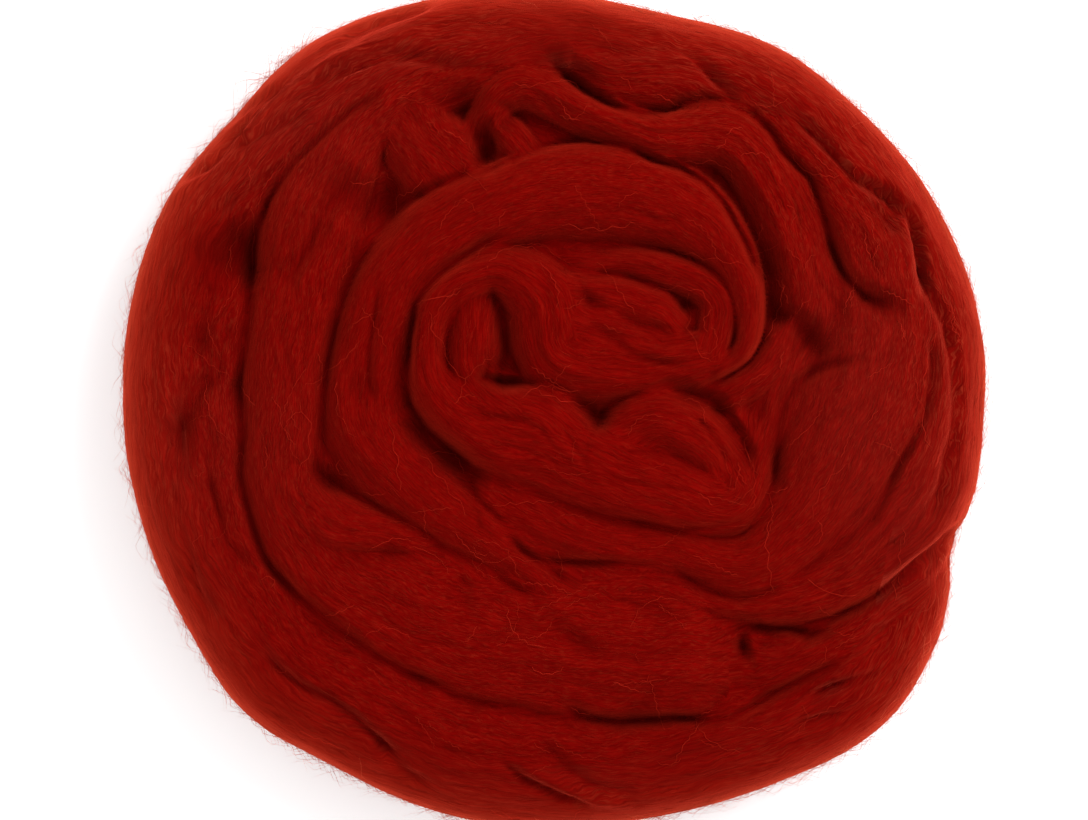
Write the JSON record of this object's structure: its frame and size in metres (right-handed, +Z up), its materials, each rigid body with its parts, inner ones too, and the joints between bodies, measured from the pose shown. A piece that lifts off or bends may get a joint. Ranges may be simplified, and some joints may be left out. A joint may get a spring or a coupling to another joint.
{
  "type": "wool roving",
  "caption": "Soft combed wool roving wound into a flat round nest, its thick untwisted strand folding back on itself into a small curl in the middle, resting on a flat base.",
  "frame": {"origin": "middle of the resting base: the nest's box is centred over it and its underside lies in z = 0", "axes": "+Z up out of the wound face; +X to the right and +Y to the top of the nest when it is seen from above"},
  "size_m": [0.2378, 0.2308, 0.0538],
  "materials": {
    "dyed_wool": "matt, deep red dyed wool fibre"
  },
  "bodies": {
    "root": {"roving_coil": "dyed_wool"}
  },
  "joints": []
}
